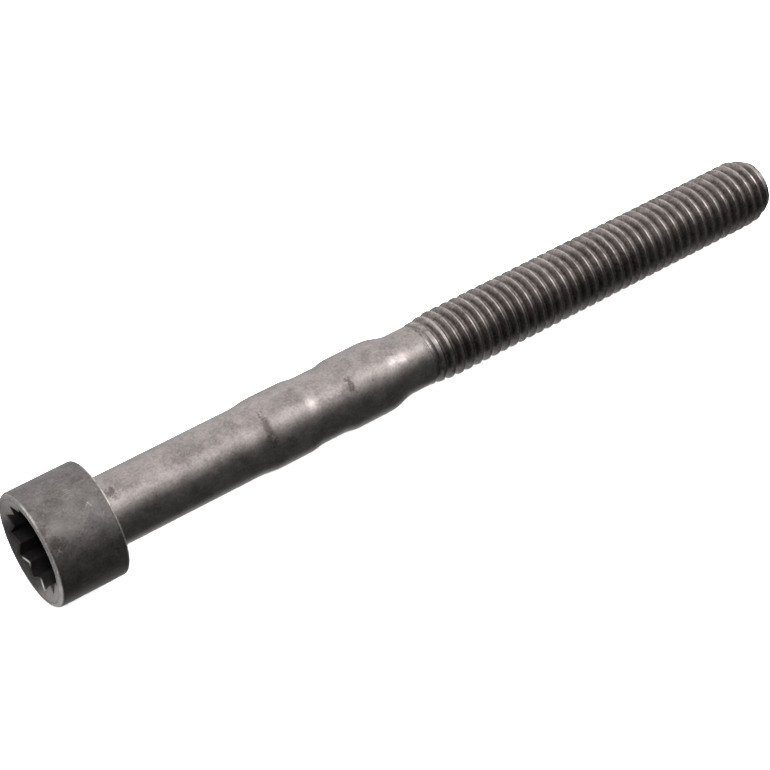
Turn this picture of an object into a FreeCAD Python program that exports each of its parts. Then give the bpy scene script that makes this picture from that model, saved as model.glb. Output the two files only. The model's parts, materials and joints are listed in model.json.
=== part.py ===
import FreeCAD, Part

import math
import os

# A long cap screw in one piece, forged, turned and rolled from one steel blank.
# It is modelled about its own axis, with the head's front face at station 0 and the
# tip towards +Z, and is then laid down as it comes to rest on a flat surface: on the
# rear rim of its head and on the last full crest of its thread. All lengths are in
# millimetres and all angles in degrees.

# Head: a plain cylinder with a rounded front corner and a nearly sharp rear rim
head_diameter = 13.0
head_height = 8.0
head_front_radius = 0.5
head_rear_radius = 0.25
under_head_fillet = 0.5

# Drive socket: three squares on one axis, 30 degrees apart, with blunted points
drive_square = 7.2
drive_over_points = 10.0
drive_mouth_diameter = 11.6
drive_mouth_angle = 140.0
drive_wall_depth = 4.8
drive_floor_angle = 150.0
drive_turn = 8.0
drive_squares = 3

# Shank: plain, with two raised guide lands and a neck before the thread
shank_diameter = 7.85
land_diameter = 8.32
neck_diameter = 7.05
plain_shank_length = 18.3
land_1_rise = 1.8
land_1_length = 4.6
land_1_fall = 1.2
waist_length = 3.2
land_2_rise = 1.2
land_2_length = 5.2
land_2_fall = 2.2
neck_length = 2.7
shank_blend_radius = 5.0

# Thread and tip
thread_crest_diameter = 7.87
thread_length = 49.6
thread_run_in = 3.4
last_crest_to_end = 2.5
tip_diameter = 6.0
tip_edge_radius = 0.3

# Stations along the axis, from the front face of the head
under_head = head_height
land_1_start = under_head + plain_shank_length + land_1_rise
land_1_end = land_1_start + land_1_length
waist_start = land_1_end + land_1_fall
waist_end = waist_start + waist_length
land_2_start = waist_end + land_2_rise
land_2_end = land_2_start + land_2_length
neck_start = land_2_end + land_2_fall
thread_start = neck_start + neck_length
thread_full = thread_start + thread_run_in
tip_end = thread_start + thread_length
last_crest = tip_end - last_crest_to_end

# Radii
head_radius = head_diameter / 2
shank_radius = shank_diameter / 2
land_radius = land_diameter / 2
neck_radius = neck_diameter / 2
crest_radius = thread_crest_diameter / 2
tip_radius = tip_diameter / 2


def point(radius, station):
    """A point of an axial section, drawn on the side that lies on top, away from the floor."""
    return FreeCAD.Vector(-radius, 0, station)


def section_edges(corners):
    """The edges of a section through corners, each (radius, station, rounding).

    A corner with a rounding becomes an arc tangent to its two neighbours.
    """
    edges = []
    last = point(corners[0][0], corners[0][1])
    for before, corner, after in zip(corners, corners[1:], corners[2:]):
        here = point(corner[0], corner[1])
        rounding = corner[2]
        if rounding > 0:
            back = (point(before[0], before[1]) - here).normalize()
            ahead = (point(after[0], after[1]) - here).normalize()
            half_corner = back.getAngle(ahead) / 2
            reach = rounding / math.tan(half_corner)
            centre_way = (back + ahead).normalize()
            middle = here + centre_way * (rounding / math.sin(half_corner) - rounding)
            start = here + back * reach
            end = here + ahead * reach
            edges.append(Part.LineSegment(last, start).toShape())
            edges.append(Part.Arc(start, middle, end).toShape())
            last = end
        else:
            edges.append(Part.LineSegment(last, here).toShape())
            last = here
    edges.append(Part.LineSegment(last, point(corners[-1][0], corners[-1][1])).toShape())
    return edges


def turned(corners):
    """A solid turned about the axis from a section that starts and ends on the axis."""
    edges = section_edges(corners)
    first = point(corners[0][0], corners[0][1])
    final = point(corners[-1][0], corners[-1][1])
    edges.append(Part.LineSegment(final, first).toShape())
    face = Part.Face(Part.Wire(edges))
    full_turn = 360
    return face.revolve(FreeCAD.Vector(0, 0, 0), FreeCAD.Vector(0, 0, 1), full_turn)


def blank():
    """Head, shank, lands, neck and threaded end as one turned outline."""
    blend = shank_blend_radius
    return turned([
        (0, 0, 0),
        (head_radius, 0, head_front_radius),
        (head_radius, under_head, head_rear_radius),
        (shank_radius, under_head, under_head_fillet),
        (shank_radius, land_1_start - land_1_rise, blend),
        (land_radius, land_1_start, blend),
        (land_radius, land_1_end, blend),
        (shank_radius, waist_start, blend),
        (shank_radius, waist_end, blend),
        (land_radius, land_2_start, blend),
        (land_radius, land_2_end, blend),
        (neck_radius, neck_start, blend),
        (neck_radius, thread_start, blend),
        (crest_radius, thread_full, blend),
        (crest_radius, last_crest, 0),
        (tip_radius, tip_end, tip_edge_radius),
        (0, tip_end, 0),
    ])


def drive_square_prism(turn):
    """One square bar of the drive, turned about the axis, as deep as the socket."""
    half = drive_square / 2
    depth = drive_wall_depth + drive_over_points
    bar = Part.makeBox(drive_square, drive_square, depth, FreeCAD.Vector(-half, -half, 0))
    bar.rotate(FreeCAD.Vector(0, 0, 0), FreeCAD.Vector(0, 0, 1), turn)
    return bar


def drive_socket():
    """The 12-point recess: the star of squares within a round punch with a cone end."""
    quarter_turn = 90.0
    step = quarter_turn / drive_squares
    first_turn = drive_turn - quarter_turn / 2
    bars = [drive_square_prism(first_turn + step * number) for number in range(drive_squares)]
    star = bars[0].multiFuse(bars[1:]).removeSplitter()
    points_radius = drive_over_points / 2
    floor_drop = points_radius / math.tan(math.radians(drive_floor_angle / 2))
    punch = turned([
        (0, 0, 0),
        (points_radius, 0, 0),
        (points_radius, drive_wall_depth, 0),
        (0, drive_wall_depth + floor_drop, 0),
    ])
    return star.common(punch)


def drive_mouth():
    """The countersink that leads a key into the socket."""
    mouth_radius = drive_mouth_diameter / 2
    depth = mouth_radius / math.tan(math.radians(drive_mouth_angle / 2))
    return turned([
        (0, 0, 0),
        (mouth_radius, 0, 0),
        (0, depth, 0),
    ])


def lie_angle():
    """How far the axis dips towards the tip when the screw lies on its head and thread."""
    along = last_crest - (under_head - head_rear_radius)
    across = head_radius - head_rear_radius - crest_radius
    return math.atan2(across, along) + math.asin(head_rear_radius / math.hypot(along, across))


def resting_place(body):
    """The place and turn of the lying screw: centred on the origin, with its low side at 0."""
    quarter_turn = 90.0
    turn = FreeCAD.Rotation(FreeCAD.Vector(0, 1, 0), quarter_turn + math.degrees(lie_angle()))
    turned_body = body.copy()
    turned_body.Placement = FreeCAD.Placement(FreeCAD.Vector(0, 0, 0), turn)
    box = turned_body.optimalBoundingBox(False, False)
    return FreeCAD.Placement(FreeCAD.Vector(-box.Center.x, 0, -box.ZMin), turn)


def lay_down(body):
    """The screw moved from its own axis to the pose in which it comes to rest."""
    laid = body.copy()
    laid.Placement = resting_place(body)
    return laid


def screw():
    """The finished screw about its own axis."""
    body = blank().cut([drive_socket(), drive_mouth()])
    return body.removeSplitter()


def save(shape, node):
    os.makedirs("parts", exist_ok=True)
    shape.exportStep(os.path.join("parts", node + ".step"))


save(lay_down(screw()), "screw")
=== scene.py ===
import itertools
import json
import math

import bmesh
import bpy
import numpy as np
from mathutils import Matrix, Vector


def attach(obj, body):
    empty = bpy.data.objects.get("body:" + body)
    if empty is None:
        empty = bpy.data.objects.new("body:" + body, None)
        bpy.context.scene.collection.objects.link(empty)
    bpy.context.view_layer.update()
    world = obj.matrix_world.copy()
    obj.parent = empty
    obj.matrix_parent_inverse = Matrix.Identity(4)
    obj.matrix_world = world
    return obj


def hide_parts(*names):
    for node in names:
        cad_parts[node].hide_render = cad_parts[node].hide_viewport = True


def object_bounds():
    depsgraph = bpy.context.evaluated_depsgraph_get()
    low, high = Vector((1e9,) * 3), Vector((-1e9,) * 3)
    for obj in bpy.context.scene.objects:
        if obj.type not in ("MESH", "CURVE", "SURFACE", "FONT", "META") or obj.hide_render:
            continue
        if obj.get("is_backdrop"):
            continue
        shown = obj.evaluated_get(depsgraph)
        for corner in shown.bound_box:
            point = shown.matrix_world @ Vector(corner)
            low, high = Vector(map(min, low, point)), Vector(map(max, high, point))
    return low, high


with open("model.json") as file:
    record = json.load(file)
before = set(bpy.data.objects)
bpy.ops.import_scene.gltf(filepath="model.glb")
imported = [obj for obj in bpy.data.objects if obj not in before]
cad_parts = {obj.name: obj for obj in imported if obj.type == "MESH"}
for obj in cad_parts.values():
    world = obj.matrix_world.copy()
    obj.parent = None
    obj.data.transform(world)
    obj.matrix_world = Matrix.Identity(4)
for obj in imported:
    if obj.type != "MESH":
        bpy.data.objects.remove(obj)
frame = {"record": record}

bl_info = {
    "name": "Cap Screw Builder",
    "version": (1, 0, 0),
    "blender": (4, 5, 0),
    "location": "View3D > Sidebar > Cap Screw",
    "description": "Builds a long cap screw with a 12-point drive, guide lands and rolled thread",
    "category": "Object",
}

MM = 0.001
CAD_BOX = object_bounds()
NODE = "screw"
BODY = "root"
STEEL = "phosphated_steel"

# The screw's own frame: its axis runs from the middle of the head's front face to the tip,
# and the angle round the axis starts at the lowest line of the lying screw
MOUNTS = {mount["name"]: mount for mount in frame["record"]["mounts"]}
FACE_CENTRE = Vector(MOUNTS["drive_socket"]["pos_m"])
AXIS = Vector(MOUNTS["thread"]["axis"]).normalized()
SIDE = Vector((0, 1, 0))
LOW = SIDE.cross(AXIS)
CREST_RADIUS = MOUNTS["thread"]["dims"]["r_mm"] * MM

# Columns round the axis: a multiple of 12, so that all points of the drive are alike
COLUMNS = 96

# Steps of a turned outline: the longest on the body and on the tip, and the most turn
BODY_STEP = 1.2 * MM
TIP_STEP = 0.6 * MM
ARC_STEP = math.radians(9)

# Points nearer than this become one, in the rolled thread and where two meshes meet
ROLLED_SEAM = 0.002 * MM
SEAM = 0.003 * MM

# Edges that turn more than this stay sharp
CREASE = math.radians(42)

# Softened edges of the drive: half the width at the mouth, the width round the star, the
# step to the next ring on either side of it, and the fillet at the foot of the walls. The
# last two are how far the middle of each rounding lies from its corner, as a share of it.
MOUTH_EDGE = 0.06 * MM
STAR_EDGE = 0.07 * MM
BESIDE_EDGE = 0.2 * MM
FOOT_FILLET = 0.12 * MM
STAR_ROUNDING = 0.25
FOOT_ROUNDING = 0.3

# Where the rings of the drive lie, as shares of its floor, its walls and its countersink
FLOOR_SHARES = (0.12, 0.35, 0.6, 0.8, 0.93)
WALL_SHARES = (0, 0.25, 0.5, 0.75, 1)
MOUTH_SHARES = (0, 0.33, 0.66, 1)

# How far before the thread's start its mesh takes over, on the plain neck
NECK_OVERLAP = 0.35 * MM

# The tip: the innermost ring of its end face, as a share of its radius, how full its chamfer
# bulges, where 1 is a plain cone, how much of its fall the flanks and the grooves follow,
# and how steeply the last groove closes before the end
INNERMOST_RING = 0.05
TIP_FULLNESS = 1.7
FLANK_SINKING = 0.75
GROOVE_SINKING = 0.5
CLOSING_SLOPE = 0.6

# What the mesh stores for the material: the fade below the star's edge, the most depth in mm
# that is told apart, and how far from the star's edge its wear is full and ends
RECESS_FADE = 0.5 * MM
DEEPEST = 5.0
EDGE_WEAR = (0.027 * MM, 0.117 * MM)

# Noise in the steel, each as (waves in a metre, detail, roughness)
NOISES = {
    "cloud": (260.0, 4.0, 0.6),
    "patch": (620.0, 3.0, 0.6),
    "grain": (4200.0, 2.0, 0.55),
    "speck": (1500.0, 3.0, 0.7),
}

# How strongly each noise shows in the colour, and how much more on the head and the thread
MOTTLE = {
    "cloud": (0.9, 0.0, 0.0),
    "patch": (0.8, 0.3, 0.0),
    "grain": (0.9, 0.0, 0.6),
    "speck": (0.5, 0.1, 0.7),
}
DARKEST = 0.45
PALEST = 1.6
THREAD_DARKENING = 0.13

# Fine scratches on the head, each as (waves in a metre, turn, (noise where one starts, full))
SCRATCH_NOISES = (
    ((420.0, 4200.0, 4200.0), (0.4, 0.9, 0.5), (0.68, 0.76)),
    ((4200.0, 4200.0, 420.0), (0.7, 0.2, 0.9), (0.70, 0.78)),
)

# Single scratches on the head, each as (start, end, strength), in mm
SCRATCHES = (
    ((-43.12, -2.59, 12.52), (-42.80, -2.35, 12.61), 0.3),
    ((-42.80, -2.35, 12.61), (-42.65, -2.78, 12.42), 0.35),
    ((-48.14, -5.10, 10.73), (-47.48, -4.63, 11.24), 0.2),
    ((-47.78, -4.78, 11.10), (-47.51, -5.11, 10.70), 0.25),
    ((-44.19, 0.06, 13.09), (-43.84, -0.02, 13.08), 0.3),
    ((-42.20, -4.02, 11.64), (-41.83, -3.73, 11.84), 0.2),
)
SCRATCH_WIDTH = 0.09

# Brown stains, and two darker spots on the shank just past the head, each as (place in mm, reach
# in mm, strength)
STAINS = (
    ((-48.18, -2.88, 12.53), 0.8, 0.45),
    ((-47.92, -3.88, 11.91), 0.9, 0.55),
    ((-47.54, -4.47, 11.40), 1.0, 0.65),
    ((-47.73, -1.95, 12.89), 1.2, 0.25),
    ((-47.72, -1.09, 13.10), 0.9, 0.20),
    ((-45.13, -4.41, 11.39), 0.7, 0.25),
    # Two darker spots on the shank just past the head
    ((-39.51, -0.87, 10.28), 1.0, 0.60),
    ((-39.27, -1.55, 10.05), 0.6, 0.30),
    ((-24.5, 0.9, 9.9), 1.2, 0.2),
    ((-31.0, -0.9, 9.9), 1.3, 0.15),
    ((47.2, -2.7, 6.7), 0.7, 0.8),
)

# Brown streaks round the start of a land, each as (land, mm before it, place in mm, reach)
STREAKS = (
    ("land_1", 0.45, (-21.3, -2.2, 9.3), 2.3),
    ("land_2", 0.0, (-10.6, -2.0, 8.9), 1.3),
)
STREAK_REACH = (0.15 * MM, 0.65 * MM)

# Paler patches of painted highlight on the head, each as (place in mm, reach in mm, strength)
PAINTED_HIGHLIGHT_PATCHES = (
    ((-46.89, -3.11, 12.37), 1.0, 0.10),
    ((-45.99, -3.93, 11.82), 1.3, 0.05),
    ((-42.3, -2.4, 12.5), 0.7, 0.10),
)

# Fades from one zone of the surface to the next: at a face or a rim, from the neck to the
# thread, before the end face, below a crest, and the depth where a groove's colour starts.
# The last is the share of its depth at which a groove has its full colour.
RIM_FADE = 0.1 * MM
THREAD_FADE = (-0.2 * MM, 0.4 * MM)
END_FADE = (0.9 * MM, 0.7 * MM)
CREST_FADE = (0.01 * MM, 0.05 * MM)
GROOVE_START = 0.1 * MM
GROOVE_FULL = 0.9

# Worn rings round the head, each as (mm inside its radius, mm from its face, mm from the
# ring where the wear is full, mm where it ends)
FRONT_RIM = (0.30, 0.06, 0.15, 0.36)
FRONT_CORNER = (0.12, 0.20, 0.06, 0.22)
REAR_RIM = (0.06, 0.08, 0.07, 0.21)
# The mouth's rim: worn, with painted highlight on its upper side
MOUTH_RIM = (0.0, 0.0, 0.03, 0.14)

# The most rubbed stretch of the front corner, and two teeth of the drive with painted glints on
# their edges, in mm
RUBBED_CORNER = ((-48.68, -0.7, 13.07), 2.2)
PAINTED_TOOTH_GLINTS = (
    ((-48.6, 2.1, 2.9), 1.0),
    ((-48.65, -1.35, 2.45), 1.0),
)

# Ways out from the axis: the upper side, where the mouth's rim has painted highlight, and the
# lower side of the drive
UPPER_WAY = (0.0, -0.59, 0.81)
LOWER_WAY = (0.0, -0.81, -0.59)

# How far out from the axis, along the lower way, the painted highlight on the drive's mouth
# and on the front rim starts, and is full
PAINTED_LIGHT_REACH = (3.3 * MM, 4.9 * MM)

# How strongly each colour shows where its own zone is full
# The grooves' brownish colour, which also darkens them as painted shade
GROOVE_TINT_AND_SHADE = 0.75
GROOVE_STAIN = 0.4
STREAK_TINT = 0.7
# Painted shade: on the countersink apart from its two lit sides, round the star's edge, and down
# the drive, shallow and deep
MOUTH_SHADE = 0.45
STAR_EDGE_SHADE = 0.75
SHALLOW_SHADE = 0.62
DEEP_SHADE = 0.97

# Depths in the drive, in mm, between which the painted shade deepens, and how far out of the star
# the painted shade round its edge is full and ends
SHADE_DEPTHS = (0.3, 2.6)
STAR_SHADE_REACH = (0.12, 0.5)

# How strongly the steel is rubbed: along the front corner, in the fine scratches and on the
# star's edges
CORNER_WEAR = 0.36
SCRATCH_WEAR = 0.22
STAR_WEAR = 0.12

# How far the floor and the backdrop reach from the screw, in metres
FLOOR_REACH = 3.0

# The dim side of the studio, and the light round it, each patch of light as (the way it
# lies, cosine of the angle at its edge, cosine where it is full, share, brightness)
DIM = (0.098, 0.104, 0.102)
LIGHT_PATCHES = (
    ((0.1, 0.6, 0.79), -0.35, 0.5, 1.0, 1.3),
    ((0.0, 0.62, -0.78), 0.41, 0.95, 1.0, 0.7),
    ((0.39, -0.32, 0.865), 0.945, 0.995, 0.8, 2.2),
    ((0.77, -0.2, 0.6), 0.96, 0.995, 1.0, 6.0),
)

# Two square soft lamps, each at a place in metres
LAMPS = {
    "lamp_back": (0.1, 0.4, 0.9),
    "lamp_front": (-0.2, -0.8, 0.8),
}


def length(name, millimetres, description):
    """A length that a user can change, stored in metres."""
    return bpy.props.FloatProperty(
        name=name, description=description, default=millimetres * MM,
        min=0, precision=5, unit="LENGTH")


def angle(name, degrees, description):
    """An angle that a user can change, stored in radians."""
    return bpy.props.FloatProperty(
        name=name, description=description, default=math.radians(degrees), subtype="ANGLE")


def colour(name, linear, description):
    """A linear colour that a user can change."""
    return bpy.props.FloatVectorProperty(
        name=name, description=description, default=linear, size=3, min=0, max=1,
        subtype="COLOR")


class ScrewSizes(bpy.types.PropertyGroup):
    """Sizes of the head, the drive and the shank."""

    head_diameter: length("Head diameter", 13.0, "Across the cylindrical head")
    head_height: length("Head height", 8.0, "From the front face to the bearing face")
    head_front_radius: length("Front corner", 0.5, "Rounding of the head's front corner")
    head_rear_radius: length("Rear rim", 0.25, "Rounding of the head's rear rim")
    under_head_fillet: length("Under-head fillet", 0.5, "Between bearing face and shank")
    drive_square: length("Drive square", 7.2, "Across the flats of each of the three squares")
    drive_over_points: length("Over points", 10.0, "Across the blunted points of the drive")
    drive_mouth: length("Drive mouth", 11.6, "Across the countersunk mouth of the drive")
    drive_mouth_slope: angle("Mouth slope", 70.0, "From the axis to the countersink")
    drive_depth: length("Drive depth", 4.8, "Down to the rim of the drive's floor")
    drive_floor_slope: angle("Floor slope", 75.0, "From the axis to the coned floor")
    drive_turn: angle("Drive turn", 8.0, "From the lowest line to the first point")
    shank_diameter: length("Shank diameter", 7.85, "Across the plain shank")
    land_diameter: length("Land diameter", 8.32, "Across both guide lands")
    neck_diameter: length("Neck diameter", 7.05, "Across the neck before the thread")
    plain_shank: length("Plain shank", 18.3, "From the head to the first land's ramp")
    land_1_rise: length("Land 1 rise", 1.8, "Ramp up to the first land")
    land_1_length: length("Land 1 length", 4.6, "Between the ends of the first land")
    land_1_fall: length("Land 1 fall", 1.2, "Ramp down from the first land")
    waist: length("Waist", 3.2, "Plain stretch between the lands")
    land_2_rise: length("Land 2 rise", 1.2, "Ramp up to the second land")
    land_2_length: length("Land 2 length", 5.2, "Between the ends of the second land")
    land_2_fall: length("Land 2 fall", 2.2, "Ramp down to the neck")
    neck: length("Neck", 2.7, "Plain stretch before the thread")
    blend_radius: length("Blend radius", 5.0, "Rounding at each ramp's ends")


class ThreadSizes(bpy.types.PropertyGroup):
    """Sizes of the rolled thread and the tip."""

    pitch: length("Pitch", 1.25, "From crest to crest")
    root_diameter: length("Root diameter", 6.466, "Across the bottoms of the grooves")
    crest_flat: length("Crest flat", 0.17, "Width of the flat on each crest")
    flank: angle("Flank angle", 30.0, "Between a flank and a plane across the axis")
    edge_rounding: length("Edge rounding", 0.025, "Softening of the crest's edges")
    root_rounding: length("Root rounding", 0.08, "Softening of the groove's corners")
    thread_length: length("Thread length", 49.6, "From the neck to the tip")
    run_in: length("Run-in", 3.4, "Over which the crests rise to full height")
    root_run_in: length("Root run-in", 1.4, "Over which the grooves reach full depth")
    chamfer: length("Tip chamfer", 2.5, "Length of the chamfer at the tip")
    tip_diameter: length("Tip diameter", 6.0, "Across the end of the chamfer")
    tip_edge_radius: length("Tip edge", 0.3, "Rounding of the end's edge")
    first_crest: length("First crest", 52.70, "Station of a crest at the lowest line")
    rows: bpy.props.IntProperty(
        name="Rows", description="Rows of faces in each pitch", default=16, min=8, max=32)


class SteelLook(bpy.types.PropertyGroup):
    """Colours and finish of the phosphated steel."""

    steel: colour("Steel", (0.275, 0.245, 0.235), "Plain shank")
    head: colour("Head", (0.153, 0.139, 0.135), "Darker phosphate on the head")
    # Also used for painted highlight on the drive's mouth, the mouth's rim and the head's pale
    # patches
    rubbed: colour("Rubbed steel", (0.50, 0.46, 0.44), "Bright rims and crests")
    rim: colour("Front rim", (0.105, 0.102, 0.097), "Matt worn band round the drive's mouth")
    # Brownish, and darker than the steel as painted shade in the roots
    groove: colour("Grooves", (0.215, 0.186, 0.175), "Brownish thread roots")
    # Near white, for painted glints on the edges of two teeth
    painted_glint: colour("Bare steel", (0.88, 0.86, 0.83), "The two most rubbed edges of the drive")
    # Painted shade for the drive and its countersink
    painted_shade: colour("Soot", (0.016, 0.014, 0.016), "Inside the drive")
    stain: colour("Stains", (0.070, 0.053, 0.045), "Brown spots")
    roughness: bpy.props.FloatProperty(
        name="Roughness", description="Roughness of the plain surface", default=0.34,
        min=0, max=1)


class StageLook(bpy.types.PropertyGroup):
    """Floor, lamps and camera."""

    floor_colour: colour("Floor", (0.86, 0.86, 0.86), "Plain pale floor")
    lamp_width: length("Lamp width", 1200.0, "Width and height of each soft lamp")
    lamp_power: bpy.props.FloatProperty(
        name="Lamp power", description="Power of each soft lamp", default=35.0, min=0,
        unit="POWER")
    camera_azimuth: angle("Camera azimuth", -35.6, "Where the camera stands, round the object")
    camera_elevation: angle("Camera elevation", 48.1, "How far the camera looks down")
    camera_place: bpy.props.FloatVectorProperty(
        name="Camera place", description="Where the camera stands",
        default=(-0.1047, -0.1399, 0.1950), size=3, subtype="TRANSLATION", precision=4)
    lens: bpy.props.FloatProperty(
        name="Lens", description="Focal length in millimetres", default=109.6, min=1)


class Net:
    """A node tree that is being wired."""

    def __init__(self, tree):
        self.tree = tree

    def node(self, kind, settings=None, inputs=None):
        """Adds any node. Settings are set first, and inputs are values or wires."""
        made = self.tree.nodes.new(kind)
        for name, value in (settings or {}).items():
            setattr(made, name, value)
        for key, value in (inputs or {}).items():
            if isinstance(value, Wire):
                self.tree.links.new(value.socket, made.inputs[key])
            else:
                made.inputs[key].default_value = value
        return made

    def wire(self, kind, settings=None, inputs=None, output=0):
        """Adds any node and returns one of its outputs."""
        return Wire(self, self.node(kind, settings, inputs).outputs[output])

    def maths(self, operation, *values):
        """One Math node."""
        return self.wire("ShaderNodeMath", {"operation": operation}, dict(enumerate(values)))

    def mix(self, share, first, second):
        """Two colours mixed. A Mix node has its colours at 6 and 7, and their mix at 2."""
        inputs = {0: share, 6: rgba(first), 7: rgba(second)}
        return self.wire("ShaderNodeMix", {"data_type": "RGBA"}, inputs, output=2)

    def vector(self, operation, *values, scale=None, output=0):
        """One Vector Math node."""
        inputs = dict(enumerate(values))
        if scale is not None:
            inputs["Scale"] = scale
        return self.wire("ShaderNodeVectorMath", {"operation": operation}, inputs, output)

    def dot(self, first, second):
        """How far one vector reaches along another."""
        return self.vector("DOT_PRODUCT", first, second, output="Value")


class Wire:
    """A node's output, which takes part in Python expressions."""

    def __init__(self, net, socket):
        self.net = net
        self.socket = socket

    def __add__(self, other):
        return self.net.maths("ADD", self, other)

    def __radd__(self, other):
        return self.net.maths("ADD", other, self)

    def __sub__(self, other):
        return self.net.maths("SUBTRACT", self, other)

    def __rsub__(self, other):
        return self.net.maths("SUBTRACT", other, self)

    def __mul__(self, other):
        return self.net.maths("MULTIPLY", self, other)

    def __rmul__(self, other):
        return self.net.maths("MULTIPLY", other, self)

    def __truediv__(self, other):
        return self.net.maths("DIVIDE", self, other)

    def __rtruediv__(self, other):
        return self.net.maths("DIVIDE", other, self)

    def __pow__(self, other):
        return self.net.maths("POWER", self, other)

    def __rpow__(self, other):
        return self.net.maths("POWER", other, self)

    def least(self, other):
        """The lesser of this and another value."""
        return self.net.maths("MINIMUM", self, other)

    def most(self, other):
        """The greater of this and another value."""
        return self.net.maths("MAXIMUM", self, other)

    def within(self, low, high):
        """This value kept between two limits."""
        return self.least(high).most(low)

    def rise(self, start, end):
        """From 0 at start to 1 at end, smoothly, and level beyond."""
        inputs = {"Value": self, "From Min": start, "From Max": end}
        return self.net.wire("ShaderNodeMapRange", {"interpolation_type": "SMOOTHSTEP"}, inputs)


def rgba(value):
    """A colour as a Mix node takes it."""
    if isinstance(value, Wire):
        return value
    return (*value, 1.0)


def new_material(name):
    """A material with an empty node tree, and the net that wires it."""
    material = bpy.data.materials.new(name)
    material.use_nodes = True
    material.node_tree.nodes.clear()
    return material, Net(material.node_tree)


def add_object(name, data):
    """An object in the scene, at the origin."""
    made = bpy.data.objects.new(name, data)
    bpy.context.scene.collection.objects.link(made)
    return made


def stations(sizes, thread):
    """Distances along the axis from the head's front face to each change of form."""
    steps = {
        "under_head": sizes.head_height, "ramp_1": sizes.plain_shank,
        "land_1": sizes.land_1_rise, "land_1_end": sizes.land_1_length,
        "waist": sizes.land_1_fall, "waist_end": sizes.waist,
        "land_2": sizes.land_2_rise, "land_2_end": sizes.land_2_length,
        "neck": sizes.land_2_fall, "thread": sizes.neck,
    }
    at = dict(zip(steps, itertools.accumulate(steps.values())))
    at["rolled"] = at["thread"] - NECK_OVERLAP
    at["full_thread"] = at["thread"] + thread.run_in
    at["tip"] = at["thread"] + thread.thread_length
    at["chamfer"] = at["tip"] - thread.chamfer
    return at


def rounded(corners):
    """Points of an outline through corners, each (radius, station, rounding)."""
    points = [np.array(corners[0][:2], float)]
    for before, corner, after in zip(corners, corners[1:], corners[2:]):
        here = np.array(corner[:2], float)
        rounding = corner[2]
        if rounding == 0:
            points.append(here)
            continue
        back = np.array(before[:2]) - here
        ahead = np.array(after[:2]) - here
        back /= np.hypot(*back)
        ahead /= np.hypot(*ahead)
        half_corner = math.acos(np.clip(np.dot(back, ahead), -1, 1)) / 2
        to_centre = (back + ahead) / np.hypot(*(back + ahead))
        centre = here + to_centre * rounding / math.sin(half_corner)
        turn = math.pi - 2 * half_corner
        count = max(3, math.ceil(turn / ARC_STEP))
        start = here + back * rounding / math.tan(half_corner) - centre
        end = here + ahead * rounding / math.tan(half_corner) - centre
        for share in np.linspace(0, 1, count + 1):
            spoke = start * math.sin((1 - share) * turn) + end * math.sin(share * turn)
            points.append(centre + spoke / math.sin(turn))
    points.append(np.array(corners[-1][:2], float))
    return points


def closer(points, longest):
    """The same outline, with no stretch longer than a given length."""
    dense = [points[0]]
    for start, end in zip(points, points[1:]):
        count = max(1, math.ceil(np.hypot(*(end - start)) / longest))
        for step in range(1, count + 1):
            dense.append(start + (end - start) * step / count)
    return dense


def drive_outline(sizes, angles):
    """Radius of the drive's star at each angle: three squares, blunted at their points."""
    point_spacing = math.radians(30)
    past_point = (angles - sizes.drive_turn) % point_spacing
    from_point = np.minimum(past_point, point_spacing - past_point)
    flat = sizes.drive_square / 2 / np.cos(math.radians(45) - from_point)
    return np.minimum(flat, sizes.drive_over_points / 2)


def countersink_station(sizes, radius):
    """Station of the countersink at a radius. At the star's own, its walls end there."""
    return (sizes.drive_mouth / 2 - radius) / math.tan(sizes.drive_mouth_slope)


def floor_station(sizes, radius):
    """Station of the coned floor at a radius."""
    fall = (sizes.drive_over_points / 2 - radius) / math.tan(sizes.drive_floor_slope)
    return sizes.drive_depth + fall


def drive_floor_rings(sizes, star):
    """Rings of the drive's floor and of the fillet round it."""
    rings = [(star * share, floor_station(sizes, star * share)) for share in FLOOR_SHARES]
    fillet_start = star - FOOT_FILLET
    inset = FOOT_FILLET * FOOT_ROUNDING
    rings.append((fillet_start, floor_station(sizes, fillet_start)))
    rings.append((star - inset, floor_station(sizes, star) - inset))
    return rings


def drive_wall_rings(sizes, star):
    """Rings of the star's walls, up to its softened edge."""
    foot = floor_station(sizes, star) - FOOT_FILLET
    top = countersink_station(sizes, star)
    rise = top + BESIDE_EDGE - foot
    rings = [(star, foot + rise * share) for share in WALL_SHARES]
    rings.append((star, top + STAR_EDGE))
    return rings


def drive_mouth_rings(sizes, star):
    """Rings of the countersink, from the star's softened edge to the front face."""
    slope = sizes.drive_mouth_slope
    mouth = sizes.drive_mouth / 2
    inset = STAR_EDGE * STAR_ROUNDING
    edge_middle = (
        star + inset * math.sin(slope), countersink_station(sizes, star) + inset * math.cos(slope))
    edge_end = star + STAR_EDGE * math.sin(slope)
    start = edge_end + BESIDE_EDGE
    end = mouth - MOUTH_EDGE
    radii = [edge_end] + [start + (end - start) * share for share in MOUTH_SHARES]
    cone = [(radius, countersink_station(sizes, radius)) for radius in radii]
    return [edge_middle, *cone, (mouth + MOUTH_EDGE, 0)]


def front_corners(sizes, at):
    """Corners of the outline from the drive's mouth to the start of the thread's mesh."""
    head = sizes.head_diameter / 2
    shank = sizes.shank_diameter / 2
    land = sizes.land_diameter / 2
    neck = sizes.neck_diameter / 2
    blend = sizes.blend_radius
    return [
        (sizes.drive_mouth / 2 + MOUTH_EDGE, 0, 0),
        (head, 0, sizes.head_front_radius),
        (head, at["under_head"], sizes.head_rear_radius),
        (shank, at["under_head"], sizes.under_head_fillet),
        (shank, at["ramp_1"], blend),
        (land, at["land_1"], blend),
        (land, at["land_1_end"], blend),
        (shank, at["waist"], blend),
        (shank, at["waist_end"], blend),
        (land, at["land_2"], blend),
        (land, at["land_2_end"], blend),
        (neck, at["neck"], blend),
        (neck, at["rolled"], 0),
    ]


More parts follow.
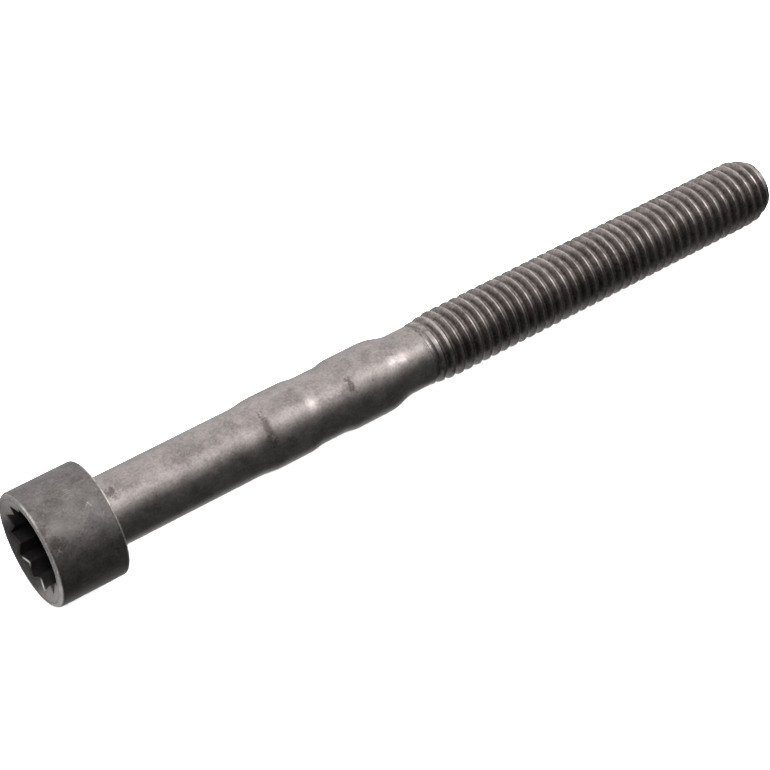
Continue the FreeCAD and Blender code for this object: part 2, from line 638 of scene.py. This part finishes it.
def tip_outline(thread, at):
    """Outline of the tip, from the end of the thread's mesh to the middle of the end face."""
    tip = thread.tip_diameter / 2
    fall = CREST_RADIUS - tip
    # The first corner only gives the arc its direction
    outline = rounded([
        (tip + fall * TIP_FULLNESS, at["chamfer"], 0),
        (tip, at["tip"], thread.tip_edge_radius),
        (tip * INNERMOST_RING, at["tip"], 0),
    ])[1:]
    start = outline[0][1]
    share = (start - at["chamfer"]) / thread.chamfer
    outline[0] = np.array((CREST_RADIUS - fall * share ** TIP_FULLNESS, start))
    return closer(outline, TIP_STEP)


def ring_mesh(name, rings, angles, closed_start=False, closed_end=False):
    """A mesh through rings of points round the axis, each ring as (radii, stations)."""
    count = len(angles)
    points = [
        (radii * np.cos(angles), radii * np.sin(angles), levels * np.ones(count))
        for radii, levels in rings
    ]
    vertices = np.concatenate([np.stack(ring, axis=1) for ring in points]).tolist()
    faces = []
    for low in range(0, (len(rings) - 1) * count, count):
        high = low + count
        for column in range(count):
            ahead = (column + 1) % count
            faces.append((low + column, high + column, high + ahead, low + ahead))
    last = (len(rings) - 1) * count
    if closed_start:
        centre = len(vertices)
        vertices.append((0, 0, float(np.mean(rings[0][1]))))
        faces += [(centre, column, (column + 1) % count) for column in range(count)]
    if closed_end:
        centre = len(vertices)
        vertices.append((0, 0, float(np.mean(rings[-1][1]))))
        faces += [
            (last + column, centre, last + (column + 1) % count) for column in range(count)]
    mesh = bpy.data.meshes.new(name)
    mesh.from_pydata(vertices, [], faces)
    return mesh


def crest_line(station, crest, neck, tip, rise, chamfer):
    """Radius of the crests: rising from the neck, then level, then falling to the tip.

    The station is a wire, the rest are numbers or wires, and rise and chamfer are
    stretches, each (start, end).
    """
    rise_share = (station - rise[0]) / (rise[1] - rise[0])
    rising = neck + (crest - neck) * rise_share.within(0, 1)
    chamfer_share = (station - chamfer[0]) / (chamfer[1] - chamfer[0])
    falling = crest - (crest - tip) * chamfer_share.within(0, 1) ** TIP_FULLNESS
    return rising.least(falling)


def add_thread_sockets(tree):
    """The named inputs of the thread's tree, and its output."""
    inputs = {
        "NodeSocketFloat": (
            "Start", "End", "First Row", "Pitch", "Crest Radius", "Root Radius",
            "Neck Radius", "Crest Flat", "Crest Rounding", "Root Rounding", "Rise Start",
            "Rise End", "Root Start", "Root End", "Chamfer Start", "Tip Radius",
            "Tip Station", "Flank Slope"),
        "NodeSocketInt": ("Rows", "Turns", "Columns"),
        "NodeSocketMaterial": ("Material",),
    }
    face = tree.interface
    face.new_socket("Geometry", in_out="OUTPUT", socket_type="NodeSocketGeometry")
    for kind, names in inputs.items():
        for name in names:
            face.new_socket(name, in_out="INPUT", socket_type=kind)


def thread_radius(net, given, station, from_crest):
    """Radius of the thread at a station, a given way along the axis from the nearest crest."""
    crest = given["Crest Radius"]
    neck = given["Neck Radius"]
    line = crest_line(
        station, crest, neck, given["Tip Radius"],
        (given["Rise Start"], given["Rise End"]),
        (given["Chamfer Start"], given["Tip Station"]))
    on_chamfer = net.maths("GREATER_THAN", station, given["Chamfer Start"])
    sunk = (crest - line) * on_chamfer
    past_flat = from_crest - given["Crest Flat"] / 2
    flank = crest - sunk * FLANK_SINKING - past_flat * given["Flank Slope"]
    crested = net.maths("SMOOTH_MIN", flank, crest, given["Crest Rounding"])
    groove_share = (station - given["Root Start"]) / (given["Root End"] - given["Root Start"])
    groove_depth = (neck - given["Root Radius"]) * groove_share.within(0, 1)
    root = neck - groove_depth - sunk * GROOVE_SINKING
    rooted = net.maths("SMOOTH_MAX", crested, root, given["Root Rounding"])
    closing = line - (given["End"] - station) * CLOSING_SLOPE
    return rooted.most(closing).least(line)


def thread_tree():
    """A tree that rolls a thread: a grid is wrapped round the axis and sheared by a pitch."""
    tree = bpy.data.node_groups.new("rolled_thread", "GeometryNodeTree")
    add_thread_sockets(tree)
    net = Net(tree)
    group = net.node("NodeGroupInput")
    given = {socket.name: Wire(net, socket) for socket in group.outputs if socket.name}

    grid = net.wire("GeometryNodeMeshGrid", inputs={
        "Size X": 1.0, "Size Y": 1.0,
        "Vertices X": given["Rows"] * given["Turns"] + 1,
        "Vertices Y": given["Columns"] + 1})
    place = net.node("ShaderNodeSeparateXYZ", inputs={
        0: net.wire("GeometryNodeInputPosition")})
    along_grid = Wire(net, place.outputs[0]) + 0.5
    round_grid = Wire(net, place.outputs[1]) + 0.5

    pitch = given["Pitch"]
    wanted = given["First Row"] + pitch * (along_grid * given["Turns"] + round_grid)
    station = wanted.within(given["Start"], given["End"])
    turns_past_crest = (station - given["First Row"]) / pitch - round_grid
    from_crest = net.maths("PINGPONG", turns_past_crest, 0.5) * pitch
    radius = thread_radius(net, given, station, from_crest)

    turn = round_grid * (2 * math.pi)
    position = net.wire("ShaderNodeCombineXYZ", inputs={
        0: radius * net.maths("COSINE", turn),
        1: radius * net.maths("SINE", turn),
        2: station})
    rolled = net.wire("GeometryNodeSetPosition", inputs={
        "Geometry": grid, "Position": position})
    merged = net.wire("GeometryNodeMergeByDistance", inputs={
        "Geometry": rolled, "Distance": ROLLED_SEAM})
    real = net.wire("GeometryNodeRealizeInstances", inputs={"Geometry": merged})
    done = net.wire("GeometryNodeSetMaterial", inputs={
        "Geometry": real, "Material": given["Material"]})
    net.node("NodeGroupOutput", inputs={0: done})
    return tree


def set_inputs(modifier, values):
    """Sets a modifier's inputs by name, through each socket's identifier."""
    for item in modifier.node_group.interface.items_tree:
        if item.item_type == "SOCKET" and item.in_out == "INPUT":
            modifier[item.identifier] = values[item.name]


def thread_mesh(sizes, thread, at, end, material):
    """The rolled thread, from the neck to the rounding of the tip."""
    turns_before = math.ceil((thread.first_crest - at["rolled"]) / thread.pitch) + 1
    first_row = thread.first_crest - turns_before * thread.pitch
    holder = add_object("thread_seed", bpy.data.meshes.new("thread_seed"))
    modifier = holder.modifiers.new("rolled_thread", "NODES")
    modifier.node_group = thread_tree()
    set_inputs(modifier, {
        "Start": at["rolled"], "End": end, "First Row": first_row, "Pitch": thread.pitch,
        "Crest Radius": CREST_RADIUS, "Root Radius": thread.root_diameter / 2,
        "Neck Radius": sizes.neck_diameter / 2, "Crest Flat": thread.crest_flat,
        "Crest Rounding": thread.edge_rounding, "Root Rounding": thread.root_rounding,
        "Rise Start": at["thread"], "Rise End": at["full_thread"],
        "Root Start": at["thread"], "Root End": at["thread"] + thread.root_run_in,
        "Chamfer Start": at["chamfer"], "Tip Radius": thread.tip_diameter / 2,
        "Tip Station": at["tip"], "Flank Slope": 1 / math.tan(thread.flank),
        "Rows": thread.rows, "Turns": math.ceil((end - first_row) / thread.pitch),
        "Columns": COLUMNS, "Material": material,
    })
    graph = bpy.context.evaluated_depsgraph_get()
    mesh = bpy.data.meshes.new_from_object(holder.evaluated_get(graph))
    holder.modifiers.remove(modifier)
    bpy.data.objects.remove(holder)
    return mesh


def joined(name, meshes):
    """One closed mesh from several that share their end rings."""
    whole = bmesh.new()
    for mesh in meshes:
        whole.from_mesh(mesh)
        bpy.data.meshes.remove(mesh)
    bmesh.ops.remove_doubles(whole, verts=whole.verts, dist=SEAM)
    bmesh.ops.recalc_face_normals(whole, faces=whole.faces)
    result = bpy.data.meshes.new(name)
    whole.to_mesh(result)
    whole.free()
    return result


def lying_frame():
    """Turns the screw's own frame into the frame in which it lies."""
    turn = Matrix((LOW, SIDE, AXIS)).transposed()
    return Matrix.Translation(FACE_CENTRE) @ turn.to_4x4()


def store(mesh, name, values):
    """Keeps one number for each point of a mesh, for the materials to read."""
    layer = mesh.attributes.new(name, "FLOAT", "POINT")
    layer.data.foreach_set("value", np.asarray(values, np.float32))


def mark_drive(mesh, sizes):
    """Stores, while the mesh is still about its own axis, how each point lies in the drive.

    "recess" fades in below the star's edge, "drive_depth" is the depth below it in mm,
    "star_gap" is how far out of the star a point is, in mm up to 1, and "drive_edge" is 1
    on the star's edge.
    """
    count = len(mesh.vertices)
    place = np.zeros(count * 3, np.float32)
    mesh.vertices.foreach_get("co", place)
    across, up, station = place.reshape(count, 3).T
    radius = np.hypot(across, up)
    star = drive_outline(sizes, np.arctan2(up, across))
    depth = station - countersink_station(sizes, star)

    past_floor = sizes.head_height - MM
    inside = (radius < sizes.drive_mouth / 2) & (station < past_floor)
    full, end = EDGE_WEAR
    from_edge = np.hypot(radius - star, depth)
    store(mesh, "recess", inside * np.clip(depth / RECESS_FADE, 0, 1))
    store(mesh, "drive_depth", inside * np.clip(depth / MM, 0, DEEPEST))
    store(mesh, "star_gap", np.clip((radius - star) / MM, 0, 1))
    store(mesh, "drive_edge", inside * np.clip((end - from_edge) / (end - full), 0, 1))


class Surface:
    """The screw's surface as its material reads it: places, noise, zones and rings."""

    def __init__(self, net, sizes, thread, at):
        self.net = net
        self.place = net.wire("ShaderNodeTexCoord", output="Object")
        from_face = net.vector("SUBTRACT", self.place, tuple(FACE_CENTRE))
        across = net.vector("CROSS_PRODUCT", from_face, tuple(AXIS))
        self.station = net.dot(from_face, tuple(AXIS))
        self.radius = net.vector("LENGTH", across, output="Value")
        self.noises = {name: self.noise(*waves) for name, waves in NOISES.items()}
        self.patch = self.noises["patch"]
        self.speck = self.noises["speck"]
        self.ragged = (self.patch + self.speck + self.noises["grain"]) / 3
        self.find_head(sizes, at)
        self.find_thread(sizes, thread, at)

    def find_head(self, sizes, at):
        """The head's side, its rims and the parts of its drive, each from 0 to 1."""
        head = sizes.head_diameter / 2
        mouth = sizes.drive_mouth / 2
        self.on_head = 1 - self.station.rise(at["under_head"] - RIM_FADE, at["under_head"])
        self.recess = self.attribute("recess")
        self.drive_edge = self.attribute("drive_edge")
        self.front_rim = self.near_ring(head, 0, FRONT_RIM)
        self.front_corner = self.near_ring(head, 0, FRONT_CORNER)
        self.mouth_rim = self.near_ring(mouth, 0, MOUTH_RIM)
        self.rear_rim = self.near_ring(head, at["under_head"], REAR_RIM, side=-1)
        within_mouth = 1 - self.radius.rise(mouth - RIM_FADE, mouth)
        self.in_mouth = within_mouth * self.on_head * (1 - self.recess)
        # Painted highlight: the countersink's two sides along the lower way, which catch the light
        self.painted_highlight_sides = self.net.maths("ABSOLUTE", self.out(LOWER_WAY)).rise(*PAINTED_LIGHT_REACH)

    def find_thread(self, sizes, thread, at):
        """The thread, its crests and its grooves, each from 0 to 1."""
        line = crest_line(
            self.station, CREST_RADIUS, sizes.neck_diameter / 2, thread.tip_diameter / 2,
            (at["thread"], at["full_thread"]), (at["chamfer"], at["tip"]))
        self.on_thread = self.station.rise(*(at["thread"] + fade for fade in THREAD_FADE))
        before_end = 1 - self.station.rise(*(at["tip"] - fade for fade in END_FADE))
        below_crest = line - self.radius
        self.crest = (1 - below_crest.rise(*CREST_FADE)) * self.on_thread * before_end
        full_depth = (CREST_RADIUS - thread.root_diameter / 2) * GROOVE_FULL
        self.groove = below_crest.rise(GROOVE_START, full_depth) * self.on_thread

    def noise(self, scale, detail, rough, stretch=None, turn=None):
        """Noise from 0 to 1, with scale in waves for each metre."""
        vector = self.place
        if stretch:
            vector = self.net.wire("ShaderNodeMapping", inputs={
                "Vector": self.place, "Rotation": turn, "Scale": stretch})
        inputs = {"Vector": vector, "Scale": scale, "Detail": detail, "Roughness": rough}
        return self.net.wire("ShaderNodeTexNoise", inputs=inputs)

    def attribute(self, name):
        """A number that the mesh holds for each point."""
        return self.net.wire("ShaderNodeAttribute", {"attribute_name": name}, output="Fac")

    def out(self, way):
        """How far a point lies from the axis in one way across it."""
        return self.net.dot(self.place, way) - Vector(way).dot(FACE_CENTRE)

    def from_ring(self, radius, station):
        """How far a point lies from a ring round the axis."""
        over = self.radius - radius
        along = self.station - station
        return self.net.maths("SQRT", over * over + along * along)

    def near_ring(self, radius, face, ring, side=1):
        """1 on a worn ring, on a face's side towards the tip, or at -1 on its other side."""
        inset, depth, full, end = (value * MM for value in ring)
        return 1 - self.from_ring(radius - inset, face + depth * side).rise(full, end)

    def near_place(self, place, reach, ragged):
        """1 at a place on the surface, fading to 0 at its reach, all in mm, with a ragged edge."""
        middle = tuple(value * MM for value in place)
        away = self.net.vector("DISTANCE", self.place, middle, output="Value")
        reach = reach * MM
        return 1 - (away + (ragged - 0.5) * (reach * 4)).rise(0.2 * reach, reach)

    def near_line(self, start, end, width):
        """1 along a straight line between two places, and 0 beyond its width, all in mm."""
        start = Vector(start) * MM
        along = Vector(end) * MM - start
        from_start = self.net.vector("SUBTRACT", self.place, tuple(start))
        share = self.net.dot(from_start, tuple(along / along.length_squared))
        nearest = self.net.vector("SCALE", tuple(along), scale=share.within(0, 1))
        away = self.net.vector("DISTANCE", from_start, nearest, output="Value")
        return 1 - away.rise(0.2 * width * MM, width * MM)


def mottled_steel(surface, look):
    """Dark head, paler shank, and grooves tinted brown and darkened as painted shade, all mottled
    by the noise.
    """
    net = surface.net
    groove = surface.groove
    base = net.mix(surface.on_head, look.steel, look.head)
    # Brownish tint in the grooves, partly painted shade
    base = net.mix(groove * GROOVE_TINT_AND_SHADE, base, look.groove)
    stained = groove * surface.patch.rise(0.45, 0.65)
    base = net.mix(stained * GROOVE_STAIN, base, look.stain)
    tone = 1 - surface.on_thread * THREAD_DARKENING
    for name, (plain, more_on_head, more_on_thread) in MOTTLE.items():
        weight = surface.on_head * more_on_head + surface.on_thread * more_on_thread + plain
        tone = tone + (surface.noises[name] - 0.5) * weight
    return net.vector("SCALE", base, scale=tone.within(DARKEST, PALEST))


def add_stains(surface, look, base, sizes, at):
    """Brown spots, two darker spots just past the head, brown streaks at the lands, and paler
    patches of painted highlight on the head.
    """
    net = surface.net
    for place, reach, share in STAINS:
        stain = surface.near_place(place, reach, surface.ragged)
        base = net.mix(stain * share, base, look.stain)
    wander = (surface.patch - 0.5) * MM
    for land, before, place, reach in STREAKS:
        station = wander + (at[land] - before * MM)
        streak = 1 - surface.from_ring(sizes.land_diameter / 2, station).rise(*STREAK_REACH)
        streak = streak * surface.near_place(place, reach, surface.ragged)
        base = net.mix(streak * STREAK_TINT, base, look.stain)
    for place, reach, share in PAINTED_HIGHLIGHT_PATCHES:
        # Painted highlight: paler patches on the head's lit side
        pale = surface.near_place(place, reach, surface.ragged)
        base = net.mix(pale * share, base, look.rubbed)
    return base


def add_painted_shade(surface, look, base):
    """Painted shade on the countersink and round the star, and painted shade that deepens down the
    walls.
    """
    net = surface.net
    # Painted shade over the countersink, apart from its two sides with painted highlight
    base = net.mix(surface.in_mouth * (1 - surface.painted_highlight_sides) * MOUTH_SHADE, base, look.painted_shade)
    # Painted shade round the star's edge
    star_gap = surface.attribute("star_gap") + (surface.patch - 0.5) * 0.3
    near_star = 1 - star_gap.rise(*STAR_SHADE_REACH)
    base = net.mix(near_star * surface.in_mouth * STAR_EDGE_SHADE, base, look.painted_shade)
    # Painted shade that deepens down the drive's walls to its floor
    deep = surface.attribute("drive_depth").rise(*SHADE_DEPTHS)
    shade_share = deep * (DEEP_SHADE - SHALLOW_SHADE) + SHALLOW_SHADE
    return net.mix(surface.recess * shade_share, base, look.painted_shade)


def add_front_rim(surface, look, base):
    """The matt worn band round the drive's mouth, with painted light making it paler on its lower
    side.
    """
    net = surface.net
    # Painted light: the band is paler on its lower side, which faces the light
    paler = surface.out(LOWER_WAY).rise(*PAINTED_LIGHT_REACH) * 0.6 + 0.64
    spotted = surface.patch * 0.9 + surface.speck * 0.7 + 0.2
    band = net.vector("SCALE", tuple(look.rim), scale=paler * spotted)
    return net.mix(surface.front_rim, base, band)


def wear_and_highlights(surface):
    """Where the steel is rubbed bright: rims, crests and scratches. It also holds painted
    highlight on the upper side of the mouth's rim and on two sides of the drive's mouth.
    """
    patch = surface.patch
    ragged = surface.ragged
    # Painted highlight: the mouth's rim is brighter on its upper side
    painted_glint_side = surface.out(UPPER_WAY).rise(-4 * MM, 4 * MM)
    rims = surface.mouth_rim * (painted_glint_side * 0.3 + 0.1) * (patch + 0.5)
    corner = surface.front_corner * surface.near_place(*RUBBED_CORNER, ragged)
    rims = rims + corner * CORNER_WEAR
    broken = surface.speck.rise(0.3, 0.55) * 0.75 + 0.25
    worn = (surface.rear_rim + rims) * broken
    worn = worn + surface.crest * (patch.rise(0.4, 0.65) * 0.4 + 0.03)
    # Painted highlight on those two sides of the drive's mouth
    worn = worn + surface.in_mouth * surface.painted_highlight_sides * (patch * 0.5 + 0.25)
    for stretch, turn, noise_rise in SCRATCH_NOISES:
        scratched = surface.noise(1.0, 1.0, 0.55, stretch, turn).rise(*noise_rise)
        worn = worn + scratched * surface.on_head * (1 - surface.recess) * SCRATCH_WEAR
    for start, end, share in SCRATCHES:
        worn = worn + surface.near_line(start, end, SCRATCH_WIDTH) * share
    return (worn + surface.drive_edge * STAR_WEAR).within(0, 1)


def add_painted_tooth_glints(surface, look, base):
    """Painted glints on the edges of two teeth of the drive."""
    evenly_ragged = (surface.ragged + 0.5) / 2
    on_edge = surface.drive_edge.rise(0.1, 0.7)
    for place, reach in PAINTED_TOOTH_GLINTS:
        # Painted glint along these teeth's edges
        painted_glint = surface.near_place(place, reach, evenly_ragged) * on_edge
        base = surface.net.mix(painted_glint, base, look.painted_glint)
    return base


def steel_roughness(surface, look, worn):
    """Duller on the head, in the grooves and in the drive, smoother where it is rubbed."""
    rough = look.roughness + (surface.patch - 0.5) * 0.16
    rough = rough + (surface.noises["cloud"] - 0.5) * 0.1
    rough = rough + surface.on_head * 0.15 + surface.groove * 0.04 + surface.recess * 0.3
    rough = rough - worn * 0.06 - surface.crest * 0.08
    return rough.within(0.15, 0.9)


def steel_material(look, sizes, thread, at):
    """Phosphated steel: dark and matt, rubbed on rims and crests, brownish and darkened as painted
    shade in the grooves.
    """
    material, net = new_material(STEEL)
    surface = Surface(net, sizes, thread, at)
    # Wear, with painted highlight on the mouth's rim and the drive's mouth
    worn = wear_and_highlights(surface)
    base = mottled_steel(surface, look)
    base = add_stains(surface, look, base, sizes, at)
    base = add_painted_shade(surface, look, base)
    base = add_front_rim(surface, look, base)
    base = net.mix(worn, base, look.rubbed)
    base = add_painted_tooth_glints(surface, look, base)
    bump = net.wire("ShaderNodeBump", inputs={
        "Height": surface.noises["grain"] * 0.4 + surface.speck,
        "Distance": 0.008 * MM, "Strength": 0.6})
    shader = net.wire("ShaderNodeBsdfPrincipled", inputs={
        "Base Color": base,
        "Metallic": 1 - surface.front_rim * 0.7,
        "Roughness": steel_roughness(surface, look, worn),
        "Normal": bump,
        "Coat Weight": (1 - surface.on_thread) * (1 - surface.recess) * 0.06,
        "Coat Roughness": 0.35})
    net.node("ShaderNodeOutputMaterial", inputs={"Surface": shader})
    return material


def screw_mesh(sizes, thread, at, material):
    """The whole screw about its own axis, as one closed mesh."""
    angles = np.arange(COLUMNS) * 2 * math.pi / COLUMNS
    star = drive_outline(sizes, angles)
    turned = closer(rounded(front_corners(sizes, at)), BODY_STEP)
    # The last ring of the drive's mouth is the first of the turned outline
    rings = [
        *drive_floor_rings(sizes, star),
        *drive_wall_rings(sizes, star),
        *drive_mouth_rings(sizes, star),
        *turned[1:],
    ]
    front = ring_mesh("front", rings, angles, closed_start=True)
    tip = tip_outline(thread, at)
    end = ring_mesh("end", tip, angles, closed_end=True)
    rolled = thread_mesh(sizes, thread, at, tip[0][1], material)
    return joined("screw_body", [front, rolled, end])


class CAPSCREW_OT_screw(bpy.types.Operator):
    """Build the screw: head, drive, shank, guide lands, neck, thread and tip in one piece"""

    bl_idname = "capscrew.screw"
    bl_label = "Build screw"

    def execute(self, context):
        sizes = context.scene.capscrew_sizes
        thread = context.scene.capscrew_thread
        at = stations(sizes, thread)
        material = steel_material(context.scene.capscrew_steel, sizes, thread, at)
        mesh = screw_mesh(sizes, thread, at, material)
        mark_drive(mesh, sizes)
        mesh.transform(lying_frame())
        mesh.materials.clear()
        mesh.materials.append(material)
        mesh.shade_smooth()
        mesh.set_sharp_from_angle(angle=CREASE)
        screw = add_object("screw_body", mesh)
        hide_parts(NODE)
        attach(screw, BODY)
        return {"FINISHED"}


def add_floor(tint):
    """A plain pale matt floor under the screw."""
    material, net = new_material("pale_floor")
    shader = net.wire("ShaderNodeBsdfPrincipled", inputs={
        "Base Color": rgba(tint), "Roughness": 0.9, "Specular IOR Level": 0.1})
    net.node("ShaderNodeOutputMaterial", inputs={"Surface": shader})
    reach = FLOOR_REACH
    corners = [(-reach, -reach, 0), (reach, -reach, 0), (reach, reach, 0), (-reach, reach, 0)]
    mesh = bpy.data.meshes.new("floor")
    mesh.from_pydata(corners, [], [(0, 1, 2, 3)])
    mesh.materials.append(material)
    floor = add_object("floor", mesh)
    floor.visible_glossy = False
    floor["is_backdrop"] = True


def add_backdrop():
    """A plain white dome that only the camera sees, so that it lights and shades nothing."""
    material, net = new_material("white_backdrop")
    shader = net.wire("ShaderNodeEmission", inputs={"Color": (1.0, 1.0, 1.0, 1.0)})
    net.node("ShaderNodeOutputMaterial", inputs={"Surface": shader})
    dome = bmesh.new()
    bmesh.ops.create_uvsphere(dome, u_segments=48, v_segments=24, radius=FLOOR_REACH)
    bmesh.ops.reverse_faces(dome, faces=dome.faces)
    mesh = bpy.data.meshes.new("backdrop")
    dome.to_mesh(mesh)
    dome.free()
    mesh.materials.append(material)
    backdrop = add_object("backdrop", mesh)
    for ray in ("diffuse", "glossy", "transmission", "shadow"):
        setattr(backdrop, "visible_" + ray, False)
    backdrop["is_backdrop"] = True


def add_lamps(width, power):
    """Square soft lamps that face the screw and leave no reflection on it."""
    for name, place in LAMPS.items():
        lamp = bpy.data.lights.new(name, "AREA")
        lamp.shape = "SQUARE"
        lamp.size = width
        lamp.energy = power
        light = add_object(name, lamp)
        light.location = place
        light.rotation_euler = Vector(place).to_track_quat("Z", "Y").to_euler()
        light.visible_glossy = False


def add_surroundings():
    """A soft studio round the screw: light above and behind, dark in front, dim below."""
    world = bpy.data.worlds.new("studio")
    world.use_nodes = True
    world.node_tree.nodes.clear()
    net = Net(world.node_tree)
    direction = net.wire("ShaderNodeTexCoord", output=0)
    tint = DIM
    for way, edge, full, share, brightness in LIGHT_PATCHES:
        patch = net.dot(direction, tuple(Vector(way).normalized())).rise(edge, full)
        tint = net.mix(patch * share, tint, (brightness, brightness, brightness))
    shader = net.wire("ShaderNodeBackground", inputs={"Color": tint})
    net.node("ShaderNodeOutputWorld", inputs={"Surface": shader})
    bpy.context.scene.world = world


def add_camera(look):
    """The camera at the photograph's angle."""
    turn = look.camera_azimuth
    tilt = look.camera_elevation
    right = Vector((math.cos(turn), math.sin(turn), 0))
    back = Vector((
        math.sin(turn) * math.cos(tilt), -math.cos(turn) * math.cos(tilt), math.sin(tilt)))
    up = back.cross(right)
    lens = bpy.data.cameras.new("camera")
    lens.lens = look.lens
    lens.sensor_width = 36.0
    lens.clip_start = 0.01
    camera = add_object("camera", lens)
    camera.matrix_world = (
        Matrix.Translation(look.camera_place) @ Matrix((right, up, back)).transposed().to_4x4())
    bpy.context.scene.camera = camera


class CAPSCREW_OT_stage(bpy.types.Operator):
    """Set the floor, the backdrop, the soft lamps and the camera"""

    bl_idname = "capscrew.stage"
    bl_label = "Set stage"

    def execute(self, context):
        look = context.scene.capscrew_stage
        add_floor(look.floor_colour)
        add_backdrop()
        add_surroundings()
        add_lamps(look.lamp_width, look.lamp_power)
        add_camera(look)
        view = context.scene.view_settings
        view.view_transform = "Standard"
        view.look = "None"
        return {"FINISHED"}


# The sidebar's boxes, each as (title, operator, property group)
BOXES = (
    ("Thread", None, "capscrew_thread"),
    ("Steel", None, "capscrew_steel"),
    ("Screw", "capscrew.screw", "capscrew_sizes"),
    ("Stage", "capscrew.stage", "capscrew_stage"),
)


class CAPSCREW_PT_sidebar(bpy.types.Panel):
    """Sizes and looks of the cap screw"""

    bl_idname = "CAPSCREW_PT_sidebar"
    bl_label = "Cap Screw"
    bl_space_type = "VIEW_3D"
    bl_region_type = "UI"
    bl_category = "Cap Screw"

    def draw(self, context):
        for title, operator, group in BOXES:
            box = self.layout.box()
            box.label(text=title)
            settings = getattr(context.scene, group)
            for name in settings.__annotations__:
                box.prop(settings, name)
            if operator:
                box.operator(operator)


GROUPS = {
    "capscrew_sizes": ScrewSizes,
    "capscrew_thread": ThreadSizes,
    "capscrew_steel": SteelLook,
    "capscrew_stage": StageLook,
}

CLASSES = (*GROUPS.values(), CAPSCREW_OT_screw, CAPSCREW_OT_stage, CAPSCREW_PT_sidebar)


def register():
    for item in CLASSES:
        bpy.utils.register_class(item)
    for name, group in GROUPS.items():
        setattr(bpy.types.Scene, name, bpy.props.PointerProperty(type=group))


def unregister():
    for name in GROUPS:
        delattr(bpy.types.Scene, name)
    for item in reversed(CLASSES):
        bpy.utils.unregister_class(item)


def plain(bounds):
    """A box as plain lists of numbers."""
    return [[float(number) for number in corner] for corner in bounds]


def main():
    register()
    bpy.ops.capscrew.screw()
    bpy.ops.capscrew.stage()
    {"cad": plain(CAD_BOX), "visual": plain(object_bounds())}


if __name__ == "__main__":
    main()
